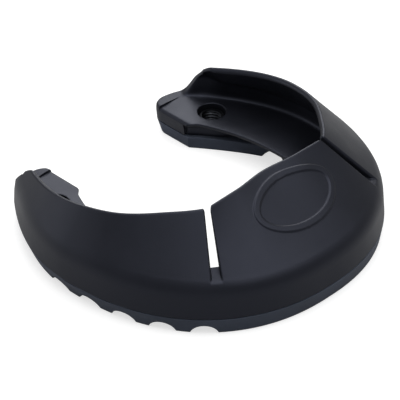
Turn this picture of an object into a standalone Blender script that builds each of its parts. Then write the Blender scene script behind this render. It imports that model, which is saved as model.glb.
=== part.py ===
"""Glue-on horseshoe: a plastic upper with a slit cuff, a steel core plate and a grooved tread.

The toe points along -Y, the heels along +Y, and the tread stands on the plane z = 0. Lengths are
metres. A place on the shoe is an arc length along its outer outline, from the middle of the toe
round to the inner side of the heel, and a depth square to that outline.
"""

from math import atan2, cos, pi, sin, sqrt

import bmesh
import bpy
import numpy as np
from mathutils import Matrix, Vector

# Plan of the shoe, measured from its widest line
HALF_WIDTH = 0.0640
TOE_LENGTH = 0.0691
TOE_CURVE_POWER = 2.19
HEEL_LENGTH = 0.0499
HEEL_DRAW_IN = 0.0183
HEEL_DRAW_POWER = 1.93
HEEL_TURN_LENGTH = 0.0050
HEEL_TURN_REACH = 0.0050
HEEL_TIP_INSET = 0.0302
HEEL_TIP_RADIUS = 0.0053
HEEL_FLAT_LENGTH = 0.0140
OUTLINE_STEPS = 240
SHARP_ANGLE = pi / 5

# Levels
SEAM_Z = 0.0050
LIP_Z = 0.0065
SEAT_Z = 0.0114
SHOULDER_Z = 0.0183
ROOT_Z = 0.0217
CUFF_HEIGHT = 0.0385
GAP = 0.0003

# Tread
LIP_WIDTH = 0.0030
LIP_RISE_SHARES = ((0.0, 1.0), (0.93, 1.0), (0.985, 0.12), (1.0, 0.12))
TREAD_SIDE_WEB = 0.0185
TREAD_TOE_WEB = 0.0180
TREAD_ARCH_Y = 0.0016
TREAD_DRAW_POWER = 1.27
TREAD_TAPER = 0.0024
TREAD_TAPER_SHARES = ((0.0, 0.60), (0.25, 0.42), (0.60, 1.08), (0.87, 1.0), (1.0, 0.3))
TREAD_EDGE = 0.0006
GROOVE_COUNT = 5
GROOVE_WIDTH = 0.0098
GROOVE_DEPTH = 0.0034
GROOVE_PITCH = 0.0151
FIRST_GROOVE_LENGTH = 0.0504
OVERRUN = 0.0050

# Upper: seat flange and rim
FLANGE_SIDE_WEB = 0.0266
FLANGE_TOE_WEB = 0.0194
FLANGE_ARCH_Y = -0.0072
FLANGE_DRAW_POWER = 2.3
ARCH_CURVE_POWER = 2.1
HEEL_CORNER_STEP = 0.0030
FLANGE_EDGE = 0.0010
FLANGE_DROOP = 0.0016
FLANGE_ROOT = 0.0022
BODY_SETBACK = 0.0040
BODY_SETBACK_SHARES = ((0.0, 1.0), (0.70, 1.0), (0.78, 0.50), (0.82, 0.38), (0.90, 0.40), (0.935, 0.0))
RIM_THICKNESS = 0.0045
RIM_DRAFT = 0.0008
SHOULDER_REACH = 0.0034
SEAT_FILLET = 0.0013
PLATFORM_EDGE = 0.0018
RIM_STOP = 0.0248
RIM_FALL = 0.0090
RIM_FALL_POWER = 1.6
RIM_CREASE_SHARE = 0.25
RIM_STEPS = 40
FALL_STEPS = 10
HEEL_STEPS = 13

# Cuff panels; the toe panel's lengths run from the middle of the toe to the middle of a slot
CUFF_INSET = 0.0227
CUFF_INSET_SHARES = ((0.27, 1.00), (0.386, 0.895), (0.539, 0.597), (0.669, 0.443), (0.848, 0.255))
CUFF_HEIGHT_SHARES = ((0.27, 0.980), (0.386, 0.936), (0.539, 0.861), (0.669, 0.782), (0.848, 0.651))
PANEL_ROOT_THICKNESS = 0.0036
PANEL_TOP_THICKNESS = 0.0022
PANEL_EDGE_RADIUS = 0.0009
PANEL_CORNER_RADIUS = 0.0018
PANEL_END_SLANT = 0.0012
TOE_PANEL_ROOT_LENGTH = 0.0455
TOE_PANEL_TOP_LENGTH = 0.0487
SLOT_WIDTH = 0.0036
TOE_PANEL_STEPS = 14
QUARTER_PANEL_STEPS = 30

# Core plate and stud bushes
CORE_THICKNESS = 0.0020
CORE_OUTER_DEPTH = 0.0052
CORE_INNER_WALL = 0.0013
CORE_STOP = 0.0228
CORE_END_RADIUS = 0.0030
CORE_STEPS = 44
BUSH_INSET = 0.0243
BUSH_BACK = 0.0203
BUSH_BORE_RADIUS = 0.0034
BUSH_BODY_RADIUS = 0.0044
BUSH_COLLAR_RADIUS = 0.0058
BUSH_COLLAR_HEIGHT = 0.0012
BUSH_BOTTOM_Z = 0.0010
BUSH_SINK = 0.0018
BUSH_CHAMFER = 0.0004
SOCKET_RADIUS = 0.00525
ROUND_STEPS = 32

# Colours
UPPER_COLOUR = (0.030, 0.031, 0.038)
TREAD_COLOUR = (0.040, 0.042, 0.050)
STEEL_COLOUR = (0.10, 0.10, 0.11)

WIDEST_Y = (TOE_LENGTH - HEEL_LENGTH) / 2
HEEL_TIP_X = HALF_WIDTH - HEEL_TIP_INSET
HEEL_INNER_X = HEEL_TIP_X - HEEL_TIP_RADIUS
HEEL_CORNER_Y = HEEL_LENGTH - HEEL_TIP_RADIUS - HEEL_FLAT_LENGTH
STUD_X = HALF_WIDTH - BUSH_INSET
STUD_Y = HEEL_LENGTH - BUSH_BACK + WIDEST_Y


def smooth(table, shares):
    """Values of a table of (share, value) rows, joined by a cubic without overshoot."""
    x, y = np.array(table, float).T
    step = np.diff(x)
    slope = np.diff(y) / step
    turn = slope[:-1] * slope[1:] > 0
    mean = 2 * slope[:-1] * slope[1:] / np.where(turn, slope[:-1] + slope[1:], 1)
    tangent = np.concatenate([[slope[0]], np.where(turn, mean, 0), [slope[-1]]])
    at = np.clip(shares, x[0], x[-1])
    i = np.clip(np.searchsorted(x, at) - 1, 0, len(step) - 1)
    t = (at - x[i]) / step[i]
    return (
        y[i] * (1 + 2 * t) * (1 - t) ** 2
        + y[i + 1] * t * t * (3 - 2 * t)
        + step[i] * (tangent[i] * t * (1 - t) ** 2 - tangent[i + 1] * t * t * (1 - t))
    )


def outline():
    """Half of the outer outline as arc lengths, points and inward normals."""
    angle = np.linspace(0, pi / 2, OUTLINE_STEPS)
    power = 2 / TOE_CURVE_POWER
    toe = np.column_stack([HALF_WIDTH * np.sin(angle) ** power, -TOE_LENGTH * np.cos(angle) ** power])
    toe[-1, 1] = 0

    y = np.linspace(0, HEEL_LENGTH - HEEL_TURN_LENGTH, OUTLINE_STEPS)[1:]
    draw = (y / y[-1]) ** HEEL_DRAW_POWER
    side = np.column_stack([HALF_WIDTH - HEEL_DRAW_IN * draw, y])

    start = side[-1]
    heading = side[-1] - side[-2]
    heading /= np.linalg.norm(heading)
    tip = np.array([HEEL_TIP_X, HEEL_LENGTH])
    leave = start + heading * HEEL_TURN_REACH
    arrive = tip + np.array([HEEL_TURN_REACH, 0])
    t = np.linspace(0, 1, OUTLINE_STEPS // 4)[1:, None]
    turn = (1 - t) ** 3 * start + 3 * (1 - t) ** 2 * t * leave + 3 * (1 - t) * t * t * arrive + t ** 3 * tip

    angle = np.linspace(0, pi / 2, OUTLINE_STEPS // 4)[1:]
    corner = np.column_stack([
        HEEL_TIP_X - HEEL_TIP_RADIUS * np.sin(angle),
        HEEL_LENGTH - HEEL_TIP_RADIUS * (1 - np.cos(angle)),
    ])

    points = np.vstack([toe, side, turn, corner])
    arcs = np.concatenate([[0], np.cumsum(np.linalg.norm(np.diff(points, axis=0), axis=1))])
    tangents = np.gradient(points, arcs, axis=0)
    tangents /= np.linalg.norm(tangents, axis=1, keepdims=True)
    tangents[0] = (1, 0)
    points[:, 1] += WIDEST_Y
    return arcs, points, np.column_stack([-tangents[:, 1], tangents[:, 0]])


ARCS, POINTS, INWARD = outline()
LENGTH = ARCS[-1]
RIM_END_ARC = LENGTH - RIM_STOP


def share_of(arc):
    return arc / LENGTH


def edge_point(arc):
    """The outline's point at an arc length, in plan."""
    return np.array([np.interp(arc, ARCS, POINTS[:, 0]), np.interp(arc, ARCS, POINTS[:, 1])])


def inward_at(arc):
    """The unit vector into the shoe, square to the outline, at an arc length."""
    normal = np.array([np.interp(arc, ARCS, INWARD[:, 0]), np.interp(arc, ARCS, INWARD[:, 1])])
    return normal / np.linalg.norm(normal)


def inner_edge(side_web, toe_web, widest, power):
    """Half of a web's inner edge in plan: a round arch, drawn in to the corner at the heel."""
    half_width = HALF_WIDTH - side_web
    angle = np.linspace(0, pi / 2, OUTLINE_STEPS)
    roundness = 2 / ARCH_CURVE_POWER
    depth = TOE_LENGTH - toe_web + widest
    arch = np.column_stack([
        half_width * np.sin(angle) ** roundness,
        widest - depth * np.cos(angle) ** roundness,
    ])
    t = np.linspace(0, 1, OUTLINE_STEPS)[1:]
    draw = np.column_stack([
        half_width - (half_width - HEEL_INNER_X) * t ** power,
        widest + (HEEL_CORNER_Y - widest) * t,
    ])
    edge = np.vstack([arch, draw])
    edge[:, 1] += WIDEST_Y
    return edge


FLANGE_INNER = inner_edge(FLANGE_SIDE_WEB, FLANGE_TOE_WEB, FLANGE_ARCH_Y, FLANGE_DRAW_POWER)
TREAD_INNER = inner_edge(TREAD_SIDE_WEB, TREAD_TOE_WEB, TREAD_ARCH_Y, TREAD_DRAW_POWER)
HEEL_CORNER = FLANGE_INNER[-1]


def fan_arc():
    """The first arc length whose section meets the inner corner of the heel, or comes nearest."""
    to_corner = HEEL_CORNER - POINTS
    miss = to_corner[:, 0] * INWARD[:, 1] - to_corner[:, 1] * INWARD[:, 0]
    miss = np.where(ARCS > TOE_PANEL_TOP_LENGTH, miss, LENGTH)
    return ARCS[np.argmax(miss <= max(miss.min(), 0))]


FAN_ARC = fan_arc()


def web_section(arc, inner):
    """Foot, direction and width of the web's section at an arc length.

    Past FAN_ARC the sections turn round the heel, about the inner side of the heel.
    """
    foot = edge_point(arc)
    if arc > FAN_ARC:
        step = HEEL_CORNER_STEP * (arc - FAN_ARC) / (LENGTH - FAN_ARC)
        across = HEEL_CORNER + np.array([0, step]) - foot
        return foot, across / np.linalg.norm(across), float(np.linalg.norm(across))
    across = inward_at(arc)
    side = (inner - foot) @ np.array([-across[1], across[0]])
    along = (inner - foot) @ across
    widths = []
    for i in np.nonzero(side[:-1] * side[1:] <= 0)[0]:
        gap = side[i] - side[i + 1]
        t = side[i] / gap if gap else 0
        width = along[i] + (along[i + 1] - along[i]) * t
        if width > 0:
            widths.append(width)
    if not widths:
        widths = [float(np.linalg.norm(inner[-1] - foot))]
    return foot, across, float(min(widths))


def round_off(distance, radius):
    """How far a rounded corner falls back at a distance from its edge."""
    if distance >= radius:
        return 0.0
    return radius - sqrt(max(radius ** 2 - (radius - distance) ** 2, 0.0))


def place(foot, across, depth, height):
    """A point at a depth and a height in the section that stands on foot."""
    return Vector((foot[0] + across[0] * depth, foot[1] + across[1] * depth, height))


def material(name, colour, roughness, metallic=0.0):
    look = bpy.data.materials.new(name)
    look.use_nodes = True
    shader = look.node_tree.nodes["Principled BSDF"]
    shader.inputs["Base Color"].default_value = (*colour, 1)
    shader.inputs["Roughness"].default_value = roughness
    shader.inputs["Metallic"].default_value = metallic
    return look


def collection(name):
    group = bpy.data.collections.new(name)
    bpy.context.scene.collection.children.link(group)
    return group


def new_object(name, mesh, group):
    thing = bpy.data.objects.new(name, mesh)
    group.objects.link(thing)
    return thing


def loft(name, rings, group, cap_start=False, flip=False):
    """A tube through rings of points, closed by a cap at its end and, if asked, at its start."""
    count = len(rings[0])
    faces = []
    for i in range(len(rings) - 1):
        for j in range(count):
            k = (j + 1) % count
            faces.append((i * count + j, i * count + k, (i + 1) * count + k, (i + 1) * count + j))
    last = (len(rings) - 1) * count
    faces.append(tuple(last + j for j in range(count)))
    if cap_start:
        faces.append(tuple(reversed(range(count))))
    if flip:
        faces = [tuple(reversed(face)) for face in faces]
    mesh = bpy.data.meshes.new(name)
    mesh.from_pydata([tuple(point) for ring in rings for point in ring], [], faces)
    mesh.validate()
    return new_object(name, mesh, group)


def mirror(thing):
    """Adds the other half, across the plane x = 0."""
    twin = thing.modifiers.new("other_half", "MIRROR")
    twin.use_axis = (True, False, False)
    twin.use_clip = True
    twin.merge_threshold = GAP / 30


def cut(thing, cutter):
    knife = thing.modifiers.new(cutter.name, "BOOLEAN")
    knife.operation = "DIFFERENCE"
    knife.solver = "EXACT"
    knife.object = cutter
    cutter.hide_render = True
    cutter.display_type = "WIRE"


def finish(thing, look):
    thing.data.materials.append(look)
    thing.data.shade_smooth()
    thing.data.set_sharp_from_angle(angle=SHARP_ANGLE)


def stations(start, stop, count, edge_start=0.0, edge_stop=0.0):
    """Arc lengths from start to stop, with extra ones inside each rounded edge."""
    inner = list(np.linspace(start + edge_start, stop - edge_stop, count))
    near = [start + edge_start * (1 - cos(pi / 2 * k / 4)) for k in range(4)] if edge_start else []
    far = [stop - edge_stop * (1 - cos(pi / 2 * k / 4)) for k in (3, 2, 1, 0)] if edge_stop else []
    return near + inner + far


def web_stations():
    """Arc lengths for the tread and the upper, closer together round the heel."""
    stop = max(FAN_ARC, RIM_END_ARC + RIM_FALL)
    body = list(np.linspace(0, RIM_END_ARC, RIM_STEPS))
    fall = list(np.linspace(RIM_END_ARC, stop, FALL_STEPS))[1:]
    heel = list(np.linspace(stop, LENGTH, HEEL_STEPS))[1:]
    return body + fall + heel


def lip_height(arc):
    """Height of the outer parting line, which drops nearly to the seam inside the heel."""
    return SEAM_Z + (LIP_Z - SEAM_Z) * float(smooth(LIP_RISE_SHARES, share_of(arc)))


def tread_ring(arc):
    """Closed section of the tread: tapered side, lip, seam face, inner side and ground face."""
    foot, across, width = web_section(arc, TREAD_INNER)
    taper = TREAD_TAPER * float(smooth(TREAD_TAPER_SHARES, share_of(arc)))
    lip = lip_height(arc) - GAP / 2
    seam = SEAM_Z - GAP / 2
    profile = [
        (taper + TREAD_EDGE, 0),
        (taper, TREAD_EDGE),
        (taper * TREAD_EDGE / lip, lip - TREAD_EDGE),
        (TREAD_EDGE, lip),
        (LIP_WIDTH, lip),
        (LIP_WIDTH, seam),
        (width - TREAD_EDGE, seam),
        (width, seam - TREAD_EDGE),
        (width, TREAD_EDGE),
        (width - TREAD_EDGE, 0),
    ]
    return [place(foot, across, depth, height) for depth, height in profile]


def groove_cutters(group):
    """Pairs of lying cylinders, square to the outline, that scallop the tread's ground face."""
    radius = ((GROOVE_WIDTH / 2) ** 2 + GROOVE_DEPTH ** 2) / (2 * GROOVE_DEPTH)
    length = TREAD_SIDE_WEB + 2 * OVERRUN
    pairs = []
    for index in range(GROOVE_COUNT):
        arc = FIRST_GROOVE_LENGTH + index * GROOVE_PITCH
        foot = edge_point(arc)
        across = inward_at(arc)
        middle = foot + across * TREAD_SIDE_WEB / 2
        rolls = []
        for side in (-1, 1):
            bpy.ops.mesh.primitive_cylinder_add(vertices=ROUND_STEPS, radius=radius, depth=length)
            roll = bpy.context.object
            roll.location = (side * middle[0], middle[1], GROOVE_DEPTH - radius)
            roll.rotation_euler = (pi / 2, 0, atan2(side * across[0], -across[1]))
            rolls.append(roll)
        pairs.append(join(rolls, f"groove_cutter_{index}", group))
    return pairs


def join(things, name, group):
    """Makes one object of several that don't touch."""
    bpy.ops.object.select_all(action="DESELECT")
    for thing in things:
        thing.select_set(True)
    bpy.context.view_layer.objects.active = things[0]
    bpy.ops.object.join()
    whole = bpy.context.view_layer.objects.active
    whole.name = name
    for owner in list(whole.users_collection):
        owner.objects.unlink(whole)
    group.objects.link(whole)
    return whole


def upright_cylinders(name, radius, bottom, top, group):
    """A pair of upright cylinders on the two stud axes."""
    pair = []
    for side in (-1, 1):
        bpy.ops.mesh.primitive_cylinder_add(vertices=ROUND_STEPS, radius=radius, depth=top - bottom)
        post = bpy.context.object
        post.location = (side * STUD_X, STUD_Y, (top + bottom) / 2)
        pair.append(post)
    return join(pair, name, group)


def crown_point(top_arc):
    """The outer top edge of a quarter panel at an arc length."""
    inset = CUFF_INSET * float(smooth(CUFF_INSET_SHARES, share_of(top_arc)))
    height = CUFF_HEIGHT * float(smooth(CUFF_HEIGHT_SHARES, share_of(top_arc)))
    return place(edge_point(top_arc), inward_at(top_arc), inset, height)


def crown_over(arc):
    """The top edge's point over a root arc: straight across the toe, along the quarters behind."""
    corner = crown_point(TOE_PANEL_TOP_LENGTH)
    if arc < TOE_PANEL_ROOT_LENGTH:
        share = arc / TOE_PANEL_ROOT_LENGTH
        drop = (CUFF_HEIGHT - corner.z) * share ** 2
        return Vector((corner.x * share, corner.y, CUFF_HEIGHT - drop))
    rate = (RIM_END_ARC - PANEL_END_SLANT - TOE_PANEL_TOP_LENGTH) / (RIM_END_ARC - TOE_PANEL_ROOT_LENGTH)
    return crown_point(TOE_PANEL_TOP_LENGTH + (arc - TOE_PANEL_ROOT_LENGTH) * rate)


def wall_line(arc):
    """The cuff wall over a root arc: its shoulder, its upward run, its inward normal and length."""
    foot = edge_point(arc)
    across = inward_at(arc)
    shoulder = place(foot, across, RIM_DRAFT, SHOULDER_Z)
    run = crown_over(arc) - shoulder
    length = run.length
    run = run / length
    inward = run.cross(Vector((-across[1], across[0], 0)))
    inward = inward.normalized()
    if inward.z > 0:
        inward = -inward
    return shoulder, run, inward, length


def root_point(arc):
    """Where the outer face of the cuff crosses the level at which the panels bend."""
    shoulder, run, _, _ = wall_line(arc)
    return shoulder + run * ((ROOT_Z - SHOULDER_Z) / run.z)


def rim_share(arc):
    """1 along the cuff, falling to 0 where the rim meets the heel platform."""
    t = min(max((arc - RIM_END_ARC) / RIM_FALL, 0.0), 1.0)
    return (1 - t) ** RIM_FALL_POWER


def rim_profile(arc):
    """Depths and heights of the rim: up its outer face, over the root face, down to the seat."""
    lip = lip_height(arc) + GAP / 2
    shoulder, run, inward, _ = wall_line(min(arc, FAN_ARC))
    flat_run = sqrt(run.x ** 2 + run.y ** 2)
    outer = []
    for k in range(5):
        t = k / 4
        below = (1 - t) ** 2 * SHOULDER_REACH
        above = t ** 2 * SHOULDER_REACH
        depth = RIM_DRAFT * (1 - below / (SHOULDER_Z - lip)) + above * flat_run
        outer.append((depth, SHOULDER_Z - below + above * run.z))
    rise = (ROOT_Z - SHOULDER_Z) / run.z
    root = (RIM_DRAFT + rise * flat_run, ROOT_Z)
    flat_inward = sqrt(inward.x ** 2 + inward.y ** 2)
    inner_root = (
        root[0] + PANEL_ROOT_THICKNESS * flat_inward,
        root[1] + PANEL_ROOT_THICKNESS * inward.z,
    )
    lean = (inner_root[0] - RIM_THICKNESS) / flat_run * run.z
    crease = max(inner_root[1] - lean * (1 - RIM_CREASE_SHARE), SEAT_Z + 2 * SEAT_FILLET)
    back = SEAT_FILLET * (1 - sin(pi / 4))
    inner = [
        inner_root,
        (RIM_THICKNESS + (inner_root[0] - RIM_THICKNESS) * RIM_CREASE_SHARE, crease),
        (RIM_THICKNESS, SEAT_Z + SEAT_FILLET),
        (RIM_THICKNESS + back, SEAT_Z + back),
        (RIM_THICKNESS + SEAT_FILLET, SEAT_Z),
    ]
    return outer + [root], inner


def sunk_rim(outer, inner, rise):
    """The rim's profile where it falls to the heel platform, whose edge is rounded."""
    rows = outer + inner
    reach = RIM_THICKNESS + SEAT_FILLET
    spread = sin(pi / 2 * rise)
    sunk = []
    for k, (_, height) in enumerate(rows):
        level = SEAT_Z + max(height - SEAT_Z, 0) * rise
        side = outer if k < len(outer) else inner[::-1]
        wall = float(np.interp(level, [row[1] for row in side], [row[0] for row in side]))
        flat = reach * k / (len(rows) - 1)
        low = SEAT_Z - round_off(flat, PLATFORM_EDGE)
        sunk.append((flat + (wall - flat) * spread, low + (level - low) * spread))
    return sunk


def body_width(arc):
    """Width of the upper's body, which stands back from the tread and flange beside the arch."""
    setback = BODY_SETBACK * float(smooth(BODY_SETBACK_SHARES, share_of(arc)))
    return min(web_section(arc, TREAD_INNER)[2] - setback, web_section(arc, FLANGE_INNER)[2])


def upper_ring(arc):
    """Closed section of the upper: rim, root face, seat, flange, body and underside."""
    foot, across, width = web_section(arc, FLANGE_INNER)
    body = body_width(arc)
    lip = lip_height(arc) + GAP / 2
    seam = SEAM_Z + GAP / 2

    outer, inner = rim_profile(arc)
    beyond = arc > RIM_END_ARC
    if beyond:
        outer, inner = sunk_rim(outer, inner, rim_share(arc)), []

    droop = SEAT_Z - FLANGE_ROOT
    overhangs = body < width
    profile = [(0, lip)] + outer + inner + [
        (width - FLANGE_EDGE / 2, SEAT_Z),
        (width, SEAT_Z - FLANGE_EDGE / 2),
        (width, SEAT_Z - FLANGE_EDGE),
        (width - FLANGE_EDGE / 2 if overhangs else width, SEAT_Z - FLANGE_DROOP),
        (min(body + FLANGE_EDGE, width), droop),
        (body, droop - FLANGE_EDGE),
        (body, seam),
        (LIP_WIDTH + GAP, seam),
        (LIP_WIDTH + GAP, lip),
    ]
    ring = [place(foot, across, depth, height) for depth, height in profile]
    if not beyond:
        root = root_point(arc)
        ring[len(outer)] = root
        ring[len(outer) + 1] = root + wall_line(arc)[2] * PANEL_ROOT_THICKNESS
    return ring


def panel_ring(arc, side_distance):
    """Closed section of a cuff panel between its root face and its top edge."""
    shoulder, run, inward, length = wall_line(arc)
    start = (ROOT_Z - SHOULDER_Z) / run.z
    top = length - round_off(side_distance, PANEL_CORNER_RADIUS)
    shrink = round_off(side_distance, PANEL_EDGE_RADIUS)
    edge = PANEL_EDGE_RADIUS
    low = start + GAP
    rows = [low + (top - edge - low) * k / 4 for k in range(5)]
    rows += [top - edge * (1 - sin(pi / 2 * k / 3)) for k in (1, 2, 3)]
    outer = []
    inner = []
    for row in rows:
        share = (row - start) / (length - start)
        thickness = PANEL_ROOT_THICKNESS + (PANEL_TOP_THICKNESS - PANEL_ROOT_THICKNESS) * share
        pull = max(shrink, round_off(top - row, edge))
        outer.append(shoulder + run * row + inward * pull)
        inner.append(shoulder + run * row + inward * (thickness - pull))
    return outer + inner[::-1]


def panel_rings(start, stop, count, round_start, round_stop):
    """Rings of a panel between two side edges, each rounded or left at the mirror plane."""
    edge = PANEL_CORNER_RADIUS
    rings = []
    for arc in stations(start, stop, count, edge if round_start else 0.0, edge if round_stop else 0.0):
        distance = edge
        if round_start:
            distance = min(distance, arc - start)
        if round_stop:
            distance = min(distance, stop - arc)
        rings.append(panel_ring(arc, distance))
    return rings


def hinge_line(start, stop):
    """A quarter panel's hinge: beside its root's chord, touching the root from outside."""
    roots = [root_point(arc) for arc in np.linspace(start, stop, OUTLINE_STEPS)]
    along = (roots[-1] - roots[0]).normalized()
    outward = along.cross(Vector((0, 0, 1)))
    return max(roots, key=lambda root: (root - roots[0]).dot(outward)), along


def set_on_hinge(panel, point, turn):
    """Moves a panel's origin onto its hinge, with its local axes turned to lie along it."""
    hinge = Matrix.Translation(point) @ Matrix.Rotation(turn, 4, "Z")
    panel.data.transform(hinge.inverted())
    panel.matrix_world = hinge


def core_outline(clearance):
    """The core plate's outline in plan, grown by a clearance."""
    end = LENGTH - CORE_STOP + clearance
    outer = []
    inner = []
    for arc in stations(0, end, CORE_STEPS, 0.0, CORE_END_RADIUS):
        back = round_off(end - arc, CORE_END_RADIUS)
        foot = edge_point(arc)
        across = inward_at(arc)
        width = body_width(arc) - CORE_INNER_WALL
        outer.append(foot + across * (CORE_OUTER_DEPTH - clearance + back))
        inner.append(foot + across * (width + clearance - back))
    left_outer = [np.array([-point[0], point[1]]) for point in outer[:0:-1]]
    left_inner = [np.array([-point[0], point[1]]) for point in inner[1:]]
    return left_outer + outer + inner[::-1] + left_inner


def flat_plate(name, loops, bottom, top, group):
    """A flat plate between two levels from closed loops, the first outside, the rest holes."""
    curve = bpy.data.curves.new(name, "CURVE")
    curve.dimensions = "2D"
    curve.fill_mode = "BOTH"
    curve.extrude = (top - bottom) / 2
    for loop in loops:
        spline = curve.splines.new("POLY")
        spline.points.add(len(loop) - 1)
        for point, (x, y) in zip(spline.points, loop):
            point.co = (x, y, 0, 1)
        spline.use_cyclic_u = True
    plate = new_object(name, curve, group)
    plate.location.z = (top + bottom) / 2
    return plate


def to_mesh(thing, group):
    """Turns a curve object into a mesh with welded caps."""
    depsgraph = bpy.context.evaluated_depsgraph_get()
    mesh = bpy.data.meshes.new_from_object(thing.evaluated_get(depsgraph))
    shell = bmesh.new()
    shell.from_mesh(mesh)
    bmesh.ops.remove_doubles(shell, verts=shell.verts, dist=GAP / 30)
    bmesh.ops.recalc_face_normals(shell, faces=shell.faces)
    shell.to_mesh(mesh)
    shell.free()
    name = thing.name
    height = thing.location.z
    bpy.data.objects.remove(thing)
    solid = new_object(name, mesh, group)
    solid.location.z = height
    return solid


def ring_of(radius, centre):
    return [
        (centre[0] + radius * cos(2 * pi * k / ROUND_STEPS), centre[1] + radius * sin(2 * pi * k / ROUND_STEPS))
        for k in range(ROUND_STEPS)
    ]


def bush(name, side, group):
    """A threaded bush, turned from a profile, with the collar that holds it on the core plate."""
    seat = SEAM_Z + GAP / 2 + CORE_THICKNESS + GAP
    top = SEAT_Z - BUSH_SINK
    profile = [
        (BUSH_BORE_RADIUS + BUSH_CHAMFER, top),
        (BUSH_BODY_RADIUS, top),
        (BUSH_BODY_RADIUS, seat + BUSH_COLLAR_HEIGHT),
        (BUSH_COLLAR_RADIUS, seat + BUSH_COLLAR_HEIGHT),
        (BUSH_COLLAR_RADIUS, seat),
        (BUSH_BODY_RADIUS, seat),
        (BUSH_BODY_RADIUS, BUSH_BOTTOM_Z),
        (BUSH_BORE_RADIUS + BUSH_CHAMFER, BUSH_BOTTOM_Z),
        (BUSH_BORE_RADIUS, BUSH_BOTTOM_Z + BUSH_CHAMFER),
        (BUSH_BORE_RADIUS, top - BUSH_CHAMFER),
    ]
    mesh = bpy.data.meshes.new(name)
    count = len(profile)
    mesh.from_pydata(
        [(radius, 0, height) for radius, height in profile], [(k, (k + 1) % count) for k in range(count)], []
    )
    turned = new_object(name, mesh, group)
    turned.location = (side * STUD_X, STUD_Y, 0)
    screw = turned.modifiers.new("turn", "SCREW")
    screw.steps = ROUND_STEPS
    screw.render_steps = ROUND_STEPS
    screw.use_merge_vertices = True
    screw.merge_threshold = GAP / 30
    return turned


def build():
    for thing in list(bpy.data.objects):
        bpy.data.objects.remove(thing)
    parts = collection("glue_on_horseshoe")
    cutters = collection("cutters")
    upper_look = material("black_upper", UPPER_COLOUR, 0.42)
    tread_look = material("black_tread", TREAD_COLOUR, 0.5)
    steel_look = material("zinc_steel", STEEL_COLOUR, 0.35, 1.0)

    tread = loft("tread_sole", [tread_ring(arc) for arc in web_stations()], parts)
    mirror(tread)
    for rolls in groove_cutters(cutters):
        cut(tread, rolls)
    body_clearance = BUSH_BODY_RADIUS + GAP
    cut(tread, upright_cylinders("stud_hole_cutter", body_clearance, -OVERRUN, SEAT_Z, cutters))
    finish(tread, tread_look)

    core_bottom = SEAM_Z + GAP / 2
    core_top = core_bottom + CORE_THICKNESS
    holes = [ring_of(body_clearance, (side * STUD_X, STUD_Y)) for side in (-1, 1)]
    core = flat_plate("core_plate", [core_outline(0.0)] + holes, core_bottom, core_top, parts)
    core = to_mesh(core, parts)
    core.data.materials.append(steel_look)

    upper = loft("foot_moulding", [upper_ring(arc) for arc in web_stations()], parts)
    mirror(upper)
    pocket = flat_plate("core_pocket", [core_outline(GAP)], -OVERRUN, core_top + GAP, cutters)
    cut(upper, to_mesh(pocket, cutters))
    collar_top = core_top + GAP + BUSH_COLLAR_HEIGHT + GAP
    cut(upper, upright_cylinders("collar_pocket", BUSH_COLLAR_RADIUS + GAP, -OVERRUN, collar_top, cutters))
    cut(upper, upright_cylinders("socket_cutter", SOCKET_RADIUS, core_top, ROOT_Z + OVERRUN, cutters))
    finish(upper, upper_look)

    half_slot = SLOT_WIDTH / 2
    toe_rings = panel_rings(0, TOE_PANEL_ROOT_LENGTH - half_slot, TOE_PANEL_STEPS, False, True)
    toe = loft("toe_panel", toe_rings, parts, flip=True)
    set_on_hinge(toe, root_point(0), 0)
    mirror(toe)
    finish(toe, upper_look)

    slot_edge = TOE_PANEL_ROOT_LENGTH + half_slot
    quarter_rings = panel_rings(slot_edge, RIM_END_ARC, QUARTER_PANEL_STEPS, True, True)
    hinge, along = hinge_line(slot_edge, RIM_END_ARC)
    for name, side in (("left_quarter_panel", 1), ("right_quarter_panel", -1)):
        flank = Vector((side, 1, 1))
        rings = [[point * flank for point in ring] for ring in quarter_rings]
        quarter = loft(name, rings, parts, cap_start=True, flip=side > 0)
        set_on_hinge(quarter, hinge * flank, -side * atan2(along.x, along.y))
        finish(quarter, upper_look)

    for name, side in (("left_stud_bush", 1), ("right_stud_bush", -1)):
        finish(bush(name, side, parts), steel_look)


build()
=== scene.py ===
import bmesh
import bpy
import numpy as np
from mathutils import Matrix, Vector


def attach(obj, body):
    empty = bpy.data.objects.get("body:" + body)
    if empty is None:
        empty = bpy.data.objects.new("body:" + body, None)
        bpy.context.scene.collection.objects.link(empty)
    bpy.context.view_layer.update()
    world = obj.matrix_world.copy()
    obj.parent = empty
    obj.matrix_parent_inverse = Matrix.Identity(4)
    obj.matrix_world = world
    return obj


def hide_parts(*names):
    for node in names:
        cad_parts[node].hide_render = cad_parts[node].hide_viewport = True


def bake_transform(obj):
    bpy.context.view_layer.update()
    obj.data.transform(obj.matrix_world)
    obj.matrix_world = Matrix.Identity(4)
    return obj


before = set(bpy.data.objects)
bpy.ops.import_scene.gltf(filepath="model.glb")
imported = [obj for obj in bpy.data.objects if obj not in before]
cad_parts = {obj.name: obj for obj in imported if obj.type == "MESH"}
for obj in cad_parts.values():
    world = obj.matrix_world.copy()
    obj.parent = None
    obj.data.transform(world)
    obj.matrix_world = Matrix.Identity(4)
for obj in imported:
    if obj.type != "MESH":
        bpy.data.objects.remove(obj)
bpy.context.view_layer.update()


# Tread: the tough black polyurethane moulding that meets the ground. Its outer edge gives the plan
# of the whole shoe, each branch has five scallops rolled across its ground face, and the upper is
# moulded onto its flat top round a low lip.
HALF_WIDTH, TOE, HEEL = 0.0640, 0.0691, 0.0499
WIDEST_Y = (TOE - HEEL) / 2
TOE_POWER, SIDE_POWER, SIDE_DRAW = 2.19, 1.93, 0.0183
HEEL_TIP = np.array([0.0338, HEEL])
HEEL_BEND, HEEL_ROUND, HEEL_SIDE, HEEL_INNER_X = 0.0050, 0.0053, 0.0140, 0.0285
HEEL_LEAN = 0.0013
ARCH_POWER = 2.1
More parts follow.
